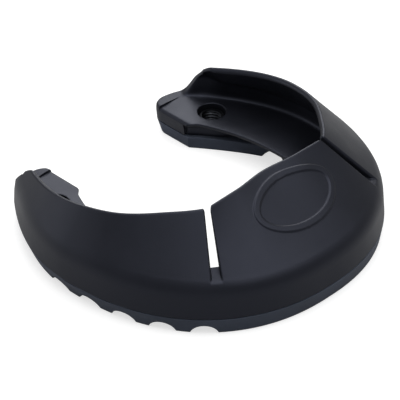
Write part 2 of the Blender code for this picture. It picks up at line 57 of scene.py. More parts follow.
SEAM_Z, LIP_Z, SEAT_Z, GAP = 0.0050, 0.0065, 0.0114, 0.0003
LIP_WIDTH = 0.0030
GROOVE_ARCS = 0.0504 + 0.0151 * np.arange(5)
GROOVE_HALF, GROOVE_DEEP, GROOVE_REACH, GROOVE_SOFT = 0.0049, 0.0034, 0.028, 0.0002
STUD = np.array([0.0397, HEEL - 0.0203 + WIDEST_Y])
STUD_HOLE = 0.0047
CRISP = np.radians(32)


def half_plan(steps=900):
    """Half of the shoe's outer edge: arc lengths, points and inward normals.

    The toe is a superellipse, |x/a|^2.19 + |y/b|^2.19 = 1. The side draws in by the distance behind
    the widest line to the power 1.93, a cubic Bezier turns the heel and a quarter circle ends it.
    """
    angle = np.linspace(0, np.pi / 2, steps)
    power = 2 / TOE_POWER
    toe = np.stack([HALF_WIDTH * np.sin(angle) ** power, -TOE * np.cos(angle) ** power], 1)
    toe[-1, 1] = 0
    back = np.linspace(0, HEEL - HEEL_BEND, steps)[1:]
    side = np.stack([HALF_WIDTH - SIDE_DRAW * (back / back[-1]) ** SIDE_POWER, back], 1)
    heading = (side[-1] - side[-2]) / np.linalg.norm(side[-1] - side[-2])
    t = np.linspace(0, 1, steps // 3)[1:, None]
    leave, arrive = side[-1] + heading * HEEL_BEND, HEEL_TIP + [HEEL_BEND, 0]
    bend = ((1 - t) ** 3 * side[-1] + 3 * (1 - t) ** 2 * t * leave
            + 3 * (1 - t) * t * t * arrive + t ** 3 * HEEL_TIP)
    angle = np.linspace(0, np.pi / 2, steps // 3)[1:]
    corner = HEEL_TIP - HEEL_ROUND * np.stack([np.sin(angle), 1 - np.cos(angle)], 1)
    edge = np.concatenate([toe, side, bend, corner])
    arcs = np.concatenate([[0], np.cumsum(np.linalg.norm(np.diff(edge, axis=0), axis=1))])
    along = np.gradient(edge, arcs, axis=0)
    along /= np.linalg.norm(along, axis=1, keepdims=True)
    along[0] = (1, 0)
    edge[:, 1] += WIDEST_Y
    return arcs, edge, np.stack([-along[:, 1], along[:, 0]], 1)


ARCS, EDGE, INWARD = half_plan()
LENGTH = ARCS[-1]


def on_edge(arc):
    """Foot and inward direction of the section at each arc length, read off the plan."""
    foot = np.stack([np.interp(arc, ARCS, EDGE[:, k]) for k in (0, 1)], -1)
    across = np.stack([np.interp(arc, ARCS, INWARD[:, k]) for k in (0, 1)], -1)
    return foot, across / np.linalg.norm(across, axis=-1, keepdims=True)


def arch(side_web, toe_web, widest, power, steps=900):
    """Inner edge of a web in plan: a superellipse of power 2.1 over the toe, mirrored, and a side
    that draws in to the heel's inner corner by a power of the distance behind the arch."""
    half, depth = HALF_WIDTH - side_web, TOE - toe_web + widest
    angle = np.linspace(-np.pi / 6, np.pi / 2, steps)
    over = np.sign(angle) * np.abs(np.sin(angle)) ** (2 / ARCH_POWER)
    vault = np.stack([half * over, widest - depth * np.cos(angle) ** (2 / ARCH_POWER)], 1)
    t = np.linspace(0, 1, steps)[1:]
    corner_y = HEEL - HEEL_ROUND - HEEL_SIDE
    side_x = half - (half - HEEL_INNER_X) * t ** power
    draw = np.stack([side_x, widest + (corner_y - widest) * t], 1)
    return np.concatenate([vault, draw]) + [0, WIDEST_Y]


TREAD_ARCH = arch(side_web=0.0185, toe_web=0.0180, widest=0.0016, power=1.27)
FLANGE_ARCH = arch(side_web=0.0266, toe_web=0.0194, widest=-0.0072, power=2.3)
HEEL_CORNER = FLANGE_ARCH[-1]
to_corner = HEEL_CORNER - EDGE
FAN_ARC = ARCS[np.argmax(to_corner[:, 0] * INWARD[:, 1] <= to_corner[:, 1] * INWARD[:, 0])]


def web(arc, inner):
    """Foot, direction and width of the sections: each runs square to the outer edge until it meets
    the inner edge, and from the heel's inner corner on they fan about that corner, which moves
    3 mm back meanwhile."""
    foot, across = on_edge(arc)
    fan = np.clip((arc - FAN_ARC) / (LENGTH - FAN_ARC), 0, 1)
    reach = HEEL_CORNER + np.stack([0 * fan, 0.003 * fan], -1) - foot
    to_pivot = np.linalg.norm(reach, axis=-1)
    square = inner[None] - foot[:, None]
    side = square[..., 1] * across[:, None, 0] - square[..., 0] * across[:, None, 1]
    along = (square * across[:, None]).sum(-1)
    step = side[:, :-1] - side[:, 1:]
    slope = (along[:, 1:] - along[:, :-1]) * side[:, :-1] / np.where(step == 0, 1, step)
    hit = along[:, :-1] + slope
    hit = np.where((side[:, :-1] * side[:, 1:] <= 0) & (hit > 0), hit, np.inf).min(1)
    past = (fan > 0) | ~np.isfinite(hit)
    across = np.where(past[:, None], reach / to_pivot[:, None], across)
    return foot, across, np.where(past, to_pivot, hit)


def ease(table, at):
    """Values of a table of (place, value) rows, joined by cubics that level off at each turn."""
    x, y = np.array(table, float).T
    slope = np.diff(y) / np.diff(x)
    turn = slope[:-1] * slope[1:] > 0
    mean = 2 * slope[:-1] * slope[1:] / np.where(turn, slope[:-1] + slope[1:], 1)
    tangent = np.concatenate([[slope[0]], np.where(turn, mean, 0), [slope[-1]]])
    at = np.clip(at, x[0], x[-1])
    i = np.clip(np.searchsorted(x, at) - 1, 0, len(x) - 2)
    step = x[i + 1] - x[i]
    t = (at - x[i]) / step
    return (y[i] * (1 + 2 * t) * (1 - t) ** 2 + y[i + 1] * t * t * (3 - 2 * t)
            + step * (tangent[i] * t * (1 - t) ** 2 - tangent[i + 1] * t * t * (1 - t)))


def fade(value, low, high):
    """Smoothstep, 3t^2 - 2t^3, from 0 at low to 1 at high."""
    t = np.clip((value - low) / (high - low), 0, 1)
    return t * t * (3 - 2 * t)


def fall_back(distance, radius):
    """How far a quarter-round edge falls back at a distance from it: r - sqrt(r^2 - (r - d)^2)."""
    left = np.clip(radius - distance, 0, radius)
    return radius - np.sqrt(radius ** 2 - left ** 2)


def spaced(start, stop, step, places=(), fine=0.00015, reach=0.0015):
    """Arc lengths a step apart, drawn together near some places: even steps of the running sum of
    a density that swells there."""
    line = np.linspace(start, stop, 8000)
    density = np.full_like(line, 1 / step)
    for place in places:
        density += np.exp(-((line - place) / reach) ** 4) / fine
    run = np.concatenate([[0], np.cumsum((density[1:] + density[:-1]) / 2 * np.diff(line))])
    return np.interp(np.linspace(0, run[-1], int(run[-1]) + 2), run, line)


def stand(foot, across, depth, height):
    """Points at a depth along the section and at a height."""
    flat = foot + across * np.asarray(depth)[..., None]
    return np.concatenate([flat, np.broadcast_to(height, flat.shape[:-1])[..., None]], -1)


def rounded(corners, radii, spans, turn=4):
    """Closed sections from corners of shape (sections, corners, 3): each corner becomes a quadratic
    curve whose legs are its radius long, or less where a side is too short for both its legs, and
    each side after a corner is divided into its span."""
    ahead = np.roll(corners, -1, 1) - corners
    length = np.maximum(np.linalg.norm(ahead, axis=2), 1e-9)
    ahead = ahead / length[..., None]
    radii = np.broadcast_to(radii, length.shape)
    fit = np.minimum(1, 0.96 * length / np.maximum(radii + np.roll(radii, -1, 1), 1e-9))
    leave = corners + ahead * (radii * fit)[..., None]
    arrive = corners - np.roll(ahead, 1, 1) * (radii * np.roll(fit, 1, 1))[..., None]
    t = np.linspace(0, 1, turn + 1)[None, :, None]
    rows = []
    for k, span in enumerate(spans):
        rows.append((1 - t) ** 2 * arrive[:, k, None] + 2 * t * (1 - t) * corners[:, k, None]
                    + t * t * leave[:, k, None])
        s = (np.arange(1, span) / span)[None, :, None]
        rows.append(leave[:, k, None] * (1 - s) + arrive[:, (k + 1) % len(spans), None] * s)
    return np.concatenate(rows, 1)


def both_halves(rings):
    """Rings of one half, x > 0, carried on through the mirror plane to the other half."""
    return np.concatenate([rings[:0:-1] * [-1, 1, 1], rings])


def skin(name, rings, ring_shaped=False):
    """Closed mesh through rings of points, shape (rings, points, 3). Its two ends are capped, or on
    a ring-shaped piece the last ring is the first one again. Equal points are merged, faces point
    outwards and edges above 32 degrees stay crisp."""
    count, size = rings.shape[:2]
    total = (count - ring_shaped) * size
    i = np.arange((count - 1) * size)
    j = i // size * size + (i + 1) % size
    faces = np.stack([i, j, (j + size) % total, (i + size) % total], 1).tolist()
    if not ring_shaped:
        faces += [list(range(size))[::-1], list(range((count - 1) * size, count * size))]
    mesh = bpy.data.meshes.new(name)
    mesh.from_pydata(rings.reshape(-1, 3)[:total].tolist(), [], faces)
    shell = bmesh.new()
    shell.from_mesh(mesh)
    bmesh.ops.remove_doubles(shell, verts=shell.verts, dist=1e-6)
    bmesh.ops.recalc_face_normals(shell, faces=shell.faces)
    shell.to_mesh(mesh)
    shell.free()
    mesh.shade_smooth()
    mesh.set_sharp_from_angle(angle=CRISP)
    piece = bpy.data.objects.new(name, mesh)
    bpy.context.scene.collection.objects.link(piece)
    return piece


def combine(piece, other, how):
    """Joins another closed mesh to a piece, or cuts it away, and removes it."""
    change = piece.modifiers.new("shape", "BOOLEAN")
    change.operation, change.solver, change.object = how, "EXACT", other
    bpy.context.view_layer.objects.active = piece
    bpy.ops.object.modifier_apply(modifier=change.name)
    bpy.data.objects.remove(other)


def drill(piece, profile, sides=96):
    """Cuts an upright turned hole on each of the two stud axes. The profile is rows of (radius,
    height) from the bottom up, carried round the axis."""
    radius, height = np.array(profile).T[:, :, None]
    angle = np.linspace(0, 2 * np.pi, sides, endpoint=False)
    for side in (-1, 1):
        turned = np.stack([
            side * STUD[0] + radius * np.cos(angle), STUD[1] + radius * np.sin(angle),
            np.broadcast_to(height, (len(height), sides)),
        ], -1)
        combine(piece, skin("drill", turned), "DIFFERENCE")
    piece.data.set_sharp_from_angle(angle=CRISP)


def lip_height(arc):
    """Height of the parting line: level with the lip outside, and nearly down to the seam inside
    the heel."""
    drop = ease(((0, 1), (0.93, 1), (0.985, 0.12), (1, 0.12)), arc / LENGTH)
    return SEAM_Z + (LIP_Z - SEAM_Z) * drop


def groove_height(points):
    """Height of the scalloped ground face over points in plan: each groove is the upper part of a
    cylinder of 5.2 mm radius lying square to the outer edge, its rims softened by 0.2 mm."""
    radius = (GROOVE_HALF ** 2 + GROOVE_DEEP ** 2) / (2 * GROOVE_DEEP)
    foot, across = on_edge(GROOVE_ARCS)
    gap = points[..., None, :2] - foot
    off = gap[..., 0] * across[:, 1] - gap[..., 1] * across[:, 0]
    rise = np.sqrt(np.clip(radius ** 2 - off ** 2, 0, None)) - (radius - GROOVE_DEEP)
    rise = np.where((gap * across).sum(-1) < GROOVE_REACH, rise, -radius).max(-1)
    soft = np.clip(rise + GROOVE_SOFT, 0, None) ** 2 / (4 * GROOVE_SOFT)
    return np.where(rise > GROOVE_SOFT, rise, soft)


def depth_of(rings, foot, across):
    """Distance of the points of each ring from the outer edge, along the ring's section."""
    return ((rings[..., :2] - foot[:, None]) * across[:, None]).sum(-1)


def from_inner(rings, arc, foot, across, width):
    """Distance of the points from the web's inner edge, and behind the heel's inner corner from the
    heel's straight inner side."""
    ahead = width[:, None] - depth_of(rings, foot, across)
    return np.where(arc[:, None] > FAN_ARC, rings[..., 0] - HEEL_INNER_X, ahead)


def heel_lean(rings, arc, distance):
    """Inward lean of the heel's inner side, 1.3 mm over the height of the seat, which fades away
    within 5 mm of that side."""
    along = fade(arc, FAN_ARC - 0.0050, FAN_ARC - 0.0010)[:, None]
    near = (1 - fade(distance, 0, 0.005)) * along
    return near * HEEL_LEAN * rings[..., 2] / SEAT_Z


groove_rims = np.concatenate([GROOVE_ARCS - GROOVE_HALF, GROOVE_ARCS + GROOVE_HALF])
arc = spaced(0, LENGTH, 0.00055, groove_rims, fine=0.00016, reach=0.0013)
foot, across, width = web(arc, TREAD_ARCH)
taper_shares = ((0, 0.60), (0.25, 0.42), (0.60, 1.08), (0.87, 1.0), (1, 0.85))
taper = 0.0024 * ease(taper_shares, arc / LENGTH)
lip = lip_height(arc) - GAP / 2
seam = SEAM_Z - GAP / 2
corners = np.stack([
    stand(foot, across, taper, 0), stand(foot, across, 0 * arc, lip),
    stand(foot, across, LIP_WIDTH + 0 * arc, lip), stand(foot, across, LIP_WIDTH + 0 * arc, seam),
    stand(foot, across, width, seam), stand(foot, across, width, 0),
], 1)
radii = [0.0006, 0.0003, 0.0002, 0.0001, 0.0005, 0.0005]
rings = rounded(corners, radii, spans=[10, 2, 1, 8, 8, 24])
# The scallops lift the ground face, and the levels up to the seam close up in proportion.
groove = groove_height(rings)
level = rings[..., 2]
lifted = groove + level * (1 - groove / seam)
lean = (taper / lip)[:, None] * (level - lifted)
near_side = 1 - fade(depth_of(rings, foot, across), 0.002, 0.005)
rings[..., :2] += (lean * near_side)[..., None] * across[:, None]
rings[..., 2] = np.where(level < seam, lifted, level)
# The heel's inner edges are rounded, and its inner side leans inwards.
to_edge = from_inner(rings, arc, foot, across, width)
cap = fall_back(np.where(arc[:, None] > FAN_ARC, to_edge, 1), 0.0005)
rings[..., 2] += cap * (1 - 1.4 * rings[..., 2] / seam)
rings[..., 0] -= heel_lean(rings, arc, to_edge)
tread = skin("tread_polyurethane", both_halves(rings))
drill(tread, [(STUD_HOLE, -0.004), (STUD_HOLE, 0.009)])


def linear(code):
    """An sRGB hex colour as the linear values that shaders use."""
    value = np.array([int(code[k:k + 2], 16) for k in (1, 3, 5)]) / 255
    value = np.where(value <= 0.04045, value / 12.92, ((value + 0.055) / 1.055) ** 2.4)
    return tuple(value) + (1.0,)


def new_material(name):
    """An empty material with only its Principled shader, and the shader."""
    made = bpy.data.materials.new(name)
    made.use_nodes = True
    return made, made.node_tree.nodes["Principled BSDF"]


def add(material, kind, links=None, **settings):
    """Adds a node: settings go to its properties or, by name, to its sockets, and links join
    another node's output to an input."""
    node = material.node_tree.nodes.new(kind)
    for key, value in settings.items():
        if hasattr(node, key):
            setattr(node, key, value)
        else:
            node.inputs[key.replace("_", " ")].default_value = value
    for key, (source, output) in (links or {}).items():
        material.node_tree.links.new(source.outputs[output], node.inputs[key])
    return node


def moulded(name, dark, light, gloss_tint, roughness, grain_mm, grain_deep):
    """Moulded polyurethane: the spark-eroded grain of the mould as bump, broad faint smudges of
    mould release, 18 mm across, in colour and gloss, and fine scuffs from handling, 4 mm across.
    The real grain is about 0.1 mm; it is drawn as coarse as grain_mm, so that it shows."""
    made, shader = new_material(name)
    place = add(made, "ShaderNodeTexCoord")
    smudge = add(made, "ShaderNodeTexNoise", {"Vector": (place, "Object")},
                 Scale=55.0, Detail=3.0, Roughness=0.55)
    colour = add(made, "ShaderNodeValToRGB", {"Fac": (smudge, "Fac")})
    first, last = colour.color_ramp.elements
    first.position, last.position = 0.32, 0.72
    first.color, last.color = linear(dark), linear(light)
    gloss = add(made, "ShaderNodeMapRange", {"Value": (smudge, "Fac")}, From_Min=0.3, From_Max=0.7,
                To_Min=roughness - 0.05, To_Max=roughness + 0.06)
    grain = add(made, "ShaderNodeTexNoise", {"Vector": (place, "Object")},
                Scale=1 / (grain_mm * 0.001), Detail=2.0)
    scuff = add(made, "ShaderNodeTexNoise", {"Vector": (place, "Object")},
                Scale=260.0, Detail=4.0, Distortion=1.6)
    relief = add(made, "ShaderNodeMath", {0: (scuff, "Fac"), 2: (grain, "Fac")},
                 operation="MULTIPLY_ADD")
    relief.inputs[1].default_value = 0.5
    bump = add(made, "ShaderNodeBump", {"Height": (relief, "Value")},
               Strength=grain_deep, Distance=0.00008)
    links = made.node_tree.links
    links.new(colour.outputs["Color"], shader.inputs["Base Color"])
    links.new(gloss.outputs["Result"], shader.inputs["Roughness"])
    links.new(bump.outputs["Normal"], shader.inputs["Normal"])
    shader.inputs["IOR"].default_value = 1.45
    shader.inputs["Specular Tint"].default_value = linear(gloss_tint)
    return made


# The tread is a bluish grey-black, much lighter than the upper. This lighter colour is partly the
# tread's own and partly painted light: it stands in for the light that a white floor throws up onto
# the tread's sides, which the mid grey table under the shoe does not give. Its mould is blasted
# coarser than the upper's, so it looks duller beside it.
tread.data.materials.clear()
tread.data.materials.append(moulded(
    "moulded_polyurethane_tread", dark="#40454f", light="#505663", gloss_tint="#cddbff",
    roughness=0.50, grain_mm=0.35, grain_deep=0.5))
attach(tread, "base")
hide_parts("tread_sole")


# Core plate: a punched U of black zinc-plated steel, moulded in between the tread and the upper.
# It is hidden in the finished shoe, so its CAD solid stays and only takes its finish. The plating
# gives a dark grey metal with a soft sheen, spangles 1.1 mm across and marks 0.4 mm across.
steel, steel_shader = new_material("black_zinc_plated_steel")
steel_place = add(steel, "ShaderNodeTexCoord")
spangle = add(steel, "ShaderNodeTexVoronoi", {"Vector": (steel_place, "Object")}, Scale=900.0)
steel_tone = add(steel, "ShaderNodeValToRGB", {"Fac": (spangle, "Distance")})
steel_tone.color_ramp.elements[0].color = linear("#26272a")
steel_tone.color_ramp.elements[1].color = linear("#393b40")
mark = add(steel, "ShaderNodeTexNoise", {"Vector": (steel_place, "Object")},
           Scale=2500.0, Detail=2.0)
steel_bump = add(steel, "ShaderNodeBump", {"Height": (mark, "Fac")},
                 Strength=0.25, Distance=0.00003)
steel.node_tree.links.new(steel_tone.outputs["Color"], steel_shader.inputs["Base Color"])
steel.node_tree.links.new(steel_bump.outputs["Normal"], steel_shader.inputs["Normal"])
steel_shader.inputs["Metallic"].default_value = 1.0
steel_shader.inputs["Roughness"].default_value = 0.40
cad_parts["core_plate"].data.materials.clear()
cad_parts["core_plate"].data.materials.append(steel)


# Stud bushes: two turned steel bushes, black zinc-plated as the core plate is, with a thread of
# 1.25 mm pitch, each held by its collar on the core plate. Each is one turned section whose bore
# carries the thread.
THREAD_PITCH, THREAD_DEEP = 0.00125, 0.0005
BORE, BORE_ROWS = 0.0034, 84
BARREL, COLLAR, COLLAR_DEEP = 0.0044, 0.0058, 0.0012


def bush_rings(side):
    """Turned section (radius, height) carried round the axis. In the bore the radius grows by up
    to 0.5 mm by a triangle wave of height / pitch - angle / turn, which is the thread."""
    bottom, top = 0.0010, 0.0096
    collar = SEAM_Z + GAP / 2 + 0.0020 + GAP
    outer = np.array([
        (0.0038, bottom), (BARREL, bottom), (BARREL, collar - 0.0004), (BARREL, collar),
        (COLLAR, collar), (COLLAR, collar + COLLAR_DEEP), (BARREL, collar + COLLAR_DEEP),
        (BARREL, top - 0.00015), (0.00425, top), (0.0038, top),
    ])
    rows = np.linspace(top - 0.0003, bottom + 0.0003, BORE_ROWS)
    section = np.concatenate([outer, np.stack([np.full(BORE_ROWS, BORE), rows], 1)])
    angle = np.linspace(0, 2 * np.pi, 73)
    turns = section[None, :, 1] / THREAD_PITCH - side * angle[:, None] / (2 * np.pi)
    thread = 1 - np.abs(2 * (turns % 1) - 1)
    depth = THREAD_DEEP * np.clip(thread * 1.3 - 0.15, 0, 1)
    edge = fade(np.minimum(top - section[:, 1], section[:, 1] - bottom), 0.0003, 0.0009)
    inner = np.arange(len(section)) >= len(outer)
    radius = section[:, 0] + np.where(inner, depth * edge + 0.0003 * (1 - edge), 0)
    x = side * STUD[0] + radius * np.cos(angle)[:, None]
    y = STUD[1] + radius * np.sin(angle)[:, None]
    return np.stack([x, y, np.broadcast_to(section[:, 1], x.shape)], -1)


for node, side in (("left_stud_bush", 1), ("right_stud_bush", -1)):
    bush = skin("threaded_" + node, bush_rings(side), ring_shaped=True)
    bush.data.materials.append(steel)
    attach(bush, "base")
    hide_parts(node)


# Upper, lower part: the one black polyurethane moulding that holds the seat flange, the rim and
# the heel platforms. Stud sockets open in the platforms, and the body stands back under the flange.
SHOULDER_Z, ROOT_Z, CUFF_HEIGHT = 0.0183, 0.0217, 0.0385
RIM_DRAFT, RIM_THICK = 0.0008, 0.0045
ROOT_THICK, REAR_THINNING = 0.0036, 0.0022
RIM_END = LENGTH - 0.0248
RAMP_LENGTH, RAMP_POWER = 0.0093, 1.15
SLOT_ARC, SLOT_TOP_ARC, SLOT_HALF = 0.0455, 0.0487, 0.0018
TOE_SWELL, CUFF_END_LEAN = 0.0012, 0.0012
BODY_STAND_BACK = 0.0040
HEEL_STEP, HEEL_STEP_Y = 0.0008, (0.0543, 0.0545)


def crown(arc):
    """Outer top edge of the quarter panels: an inset and a height along the outer edge."""
    share = arc / LENGTH
    inset = 0.0227 * ease(
        ((0.27, 1), (0.386, 0.895), (0.539, 0.597), (0.669, 0.443), (0.848, 0.255)), share)
    height = CUFF_HEIGHT * ease(
        ((0.27, 0.988), (0.386, 0.949), (0.539, 0.872), (0.669, 0.792), (0.848, 0.665)), share)
    return stand(*on_edge(arc), inset, height)


def cuff_line(arc):
    """Cuff wall over a root arc: its shoulder point, its upward run, its inward normal and length.
    The toe's top edge falls by the square of the distance from the middle; in plan it is straight,
    with a cosine swell of 1.2 mm over its middle."""
    foot, across = on_edge(arc)
    shoulder = stand(foot, across, RIM_DRAFT + 0 * arc, SHOULDER_Z)
    corner = crown(np.array(SLOT_TOP_ARC))
    share = arc / SLOT_ARC
    swell = TOE_SWELL * np.cos(np.clip(share * 1.9, 0, 1) * np.pi / 2) ** 2
    straight = np.stack([
        corner[0] * share, corner[1] + swell,
        CUFF_HEIGHT - (CUFF_HEIGHT - corner[2]) * share ** 2,
    ], -1)
    rate = (RIM_END - CUFF_END_LEAN - SLOT_TOP_ARC) / (RIM_END - SLOT_ARC)
    curved = crown(SLOT_TOP_ARC + (arc - SLOT_ARC) * rate)
    run = np.where((arc < SLOT_ARC)[..., None], straight, curved) - shoulder
    length = np.linalg.norm(run, axis=-1)
    run = run / length[..., None]
    inward = np.cross(run, np.stack([-across[..., 1], across[..., 0], 0 * arc], -1))
    inward /= np.linalg.norm(inward, axis=-1, keepdims=True)
    return shoulder, run, inward * np.where(inward[..., 2:] > 0, -1, 1), length


def root_thick(arc):
    """Thickness of the wall at its root, which thins to 1.4 mm towards the cuff's rear end."""
    return ROOT_THICK - REAR_THINNING * fade(arc, RIM_END - 0.011, RIM_END - 0.001)


arc = spaced(0, LENGTH, 0.0006, (SLOT_ARC, RIM_END, RIM_END + 0.004, LENGTH),
             fine=0.00025, reach=0.0035)
foot, across, width = web(arc, FLANGE_ARCH)
tread_width = web(arc, TREAD_ARCH)[2]
back_shares = ((0, 1), (0.70, 1), (0.78, 0.50), (0.82, 0.38), (0.90, 0.40), (0.935, 0))
body = np.minimum(tread_width - BODY_STAND_BACK * ease(back_shares, arc / LENGTH), width)
lip = lip_height(arc) + GAP / 2
seam = SEAM_Z + GAP / 2
shoulder = stand(foot, across, RIM_DRAFT + 0 * arc, SHOULDER_Z)
_, run, inward, _ = cuff_line(np.minimum(arc, FAN_ARC))
root = shoulder + run * ((ROOT_Z - SHOULDER_Z) / run[:, 2:])
inner_root = root + inward * root_thick(arc)[:, None]
inner_depth = ((inner_root[:, :2] - foot) * across).sum(1)
crease_fall = 0.75 * (inner_depth - RIM_THICK) / np.hypot(run[:, 0], run[:, 1]) * run[:, 2]
crease_z = np.clip(inner_root[:, 2] - crease_fall, SEAT_Z + 0.0026, inner_root[:, 2] - 0.0015)
crease = inner_root - run * ((inner_root[:, 2] - crease_z) / run[:, 2])[:, None]


def on_outside(level):
    """Point of the rim's outer side at a level: up the drafted side, then along the cuff's run."""
    draft = RIM_DRAFT * np.clip((level - lip) / (SHOULDER_Z - lip), 0, 1)
    high = shoulder + run * ((level - SHOULDER_Z) / run[:, 2])[:, None]
    return np.where((level < SHOULDER_Z)[:, None], stand(foot, across, draft, level), high)


def on_inside(level):
    """Point of the rim's inner side at a level: down the cuff's run to the crease, then down to
    the seat."""
    high = inner_root - run * ((inner_root[:, 2] - level) / run[:, 2])[:, None]
    t = np.clip((level - SEAT_Z) / (crease_z - SEAT_Z), 0, 1)[:, None]
    low = stand(foot, across, RIM_THICK + 0 * arc, SEAT_Z) * (1 - t) + crease * t
    return np.where((level > crease_z)[:, None], high, low)


# Behind the cuff the rim's five corners sink along a ramp into the flat heel platform.
rise = np.clip(1 - (arc - RIM_END) / RAMP_LENGTH, 0, 1) ** RAMP_POWER
spread = np.sin(np.pi / 2 * rise)[:, None]
rim = []
for height, side_at, flat_depth in (
    (SHOULDER_Z + 0 * arc, on_outside, 0), (ROOT_Z + 0 * arc, on_outside, 0.0019),
    (inner_root[:, 2], on_inside, 0.0027), (crease_z, on_inside, 0.0038),
    (SEAT_Z + 0 * arc, on_inside, 0.0058),
):
    upright = side_at(SEAT_Z + (height - SEAT_Z) * rise)
    flat = stand(foot, across, flat_depth + 0 * arc, SEAT_Z)
    rim.append(flat + (upright - flat) * spread)
corners = np.stack([stand(foot, across, 0 * arc, lip)] + rim + [
    stand(foot, across, width, SEAT_Z),
    stand(foot, across, width - 0.0005 * (body < width), SEAT_Z - 0.0016),
    stand(foot, across, np.minimum(body + 0.0002, width), SEAT_Z - 0.0022),
    stand(foot, across, body, seam), stand(foot, across, LIP_WIDTH + GAP + 0 * arc, seam),
    stand(foot, across, LIP_WIDTH + GAP + 0 * arc, lip),
], 1)
past_cuff = fade(arc, RIM_END - 0.0006, RIM_END + 0.0012)
top_round = 0.4 * root_thick(arc) * past_cuff * rise
one = np.ones_like(arc)
radii = np.stack([
    0.00025 * one, 0.0022 + 0.0012 * rise, top_round, top_round, 0.0009 * rise, 0.0020 * rise,
    0.0006 * one, 0.0005 * one, 0.0009 * one, 0.0002 * one, 0.0001 * one, 0.0001 * one,
], 1)
rings = rounded(corners, radii, spans=[12, 6, 3, 4, 3, 18, 2, 3, 5, 8, 1, 1], turn=5)
to_edge = from_inner(rings, arc, foot, across, width)
cap = fall_back(to_edge, 0.0012) * fade(arc, FAN_ARC - 0.0025, FAN_ARC)[:, None]
share = (rings[..., 2] - seam) / (SEAT_Z - seam)
rings[..., 0] -= heel_lean(rings, arc, to_edge)
rings[..., 2] -= cap * np.clip(1.2 * share - 0.2, -1, 1)
upper = skin("upper_polyurethane_foot", both_halves(rings))


def slot_block(name, side, half_width, bottom, top, depths, flare):
    """Block in a slot, in the wall's own directions at the slot: rings over the depth into the wall,
    each a box from the bottom line, a function of the depth, to the top. Near the outer face the
    box widens by a quarter round of the flare."""
    shoulder, run, inward, _ = cuff_line(np.array([SLOT_ARC]))
    root = (shoulder + run * ((ROOT_Z - SHOULDER_Z) / run[:, 2:]))[0]
    across = np.cross(run[0], inward[0])
    depth = np.linspace(*depths)[:, None]
    widening = fall_back(depth, flare)
    wide = half_width + widening
    over = np.linspace(-1, 1, 25) * wide
    low = bottom(depth) - 0.5 * widening + fall_back(wide - np.abs(over), 0.0006)
    level = np.concatenate([low, np.full_like(low, top)], 1)[..., None]
    over = np.concatenate([over, over[:, ::-1]], 1)[..., None]
    ring = root + inward[0] * depth[..., None] + run[0] * level + across * over
    return skin(name, ring * [side, 1, 1])


# Each slot's foot is first closed by a web, and the slot is then cut down into it on a slope.
for side in (1, -1):
    plug = slot_block("slot_plug", side, 0.0015, lambda depth: -0.0008 + 0 * depth, 0.0050,
                      depths=(0.0006, 0.00342, 12), flare=0)
    combine(upper, plug, "UNION")
    notch = slot_block("slot_notch", side, 0.00177, lambda depth: 1.75 * depth - 0.0020, 0.0080,
                       depths=(-0.0015, 0.0060, 60), flare=0.0009)
    combine(upper, notch, "DIFFERENCE")

# A low step crosses each heel near its back end: two cuts, and all behind them is raised, which
# fades away towards the outside.
step = bmesh.new()
step.from_mesh(upper.data)
for place in HEEL_STEP_Y:
    bmesh.ops.bisect_plane(step, geom=step.verts[:] + step.edges[:] + step.faces[:], dist=1e-6,
                           plane_co=(0, place, 0), plane_no=(0, 1, 0))
step.to_mesh(upper.data)
step.free()
point = np.empty(len(upper.data.vertices) * 3)
upper.data.vertices.foreach_get("co", point)
point = point.reshape(-1, 3)
behind = fade(point[:, 1], *HEEL_STEP_Y) * (1 - fade(np.abs(point[:, 0]), HEEL_INNER_X, 0.0400))
point[:, 2] += HEEL_STEP * behind * fade(point[:, 2], 0.0095, 0.0108)
upper.data.vertices.foreach_set("co", point.ravel())
upper.data.set_sharp_from_angle(angle=CRISP)
drill(upper, [
    (STUD_HOLE, 0.0), (STUD_HOLE, 0.00715), (0.00525, 0.00715), (0.00525, 0.0110),
    (0.0053, 0.01122), (0.00545, 0.01137), (0.0056, 0.01142), (0.0056, 0.014),
])
# The upper's mould is finely blasted, so that its near-black skin has a soft bluish sheen.
satin = moulded("satin_moulded_polyurethane", dark="#0d0e12", light="#111217",
                gloss_tint="#dbe2ff", roughness=0.42, grain_mm=0.28, grain_deep=0.3)
upper.data.materials.append(satin)
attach(upper, "base")
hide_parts("foot_moulding")


# Cuff: the three thin panels of the same moulding. They lean inwards over the hoof wall and taper to
# a rounded top edge. On the real shoe they flex on the foot; here each is a skin of its own, which
# carries on a little below its root line.
TOP_THICK, EDGE_ROUND, SINK = 0.0022, 0.0009, 0.00003
CORNER_ROUND, REAR_FALL, REAR_RUN = 0.0014, 0.0032, 0.0042
RING_X, RING_Z, RING_FLATTEN = 0.0033, 0.0308, 0.55
RING_HALF, RING_TALL, RING_HIGH = 0.0189, 0.0108, 0.0004


def wall(arc, above, distance, top_edge):
    """Outer and inner points of the cuff at a root arc and a distance above the root, pulled in by
    the quarter rounds of the side and the top, and sunk 0.03 mm into the foot below the root."""
    shoulder, run, inward, length = cuff_line(arc)
    start = (ROOT_Z - SHOULDER_Z) / run[..., 2]
    root = root_thick(arc)
    top = np.minimum(root, TOP_THICK)
    thick = root + (top - root) * np.clip(above / (length - start), 0, 1)
    edge = np.minimum(EDGE_ROUND, 0.45 * thick)
    pull = np.maximum(fall_back(distance, edge), fall_back(top_edge, edge))
    sunk = SINK * (1 - fade(above, -0.0009, -0.0001))
    base = shoulder + run * (start + above)[..., None]
    outer = base + inward * (pull + sunk)[..., None]
    return outer, base + inward * (thick - pull - sunk)[..., None], inward


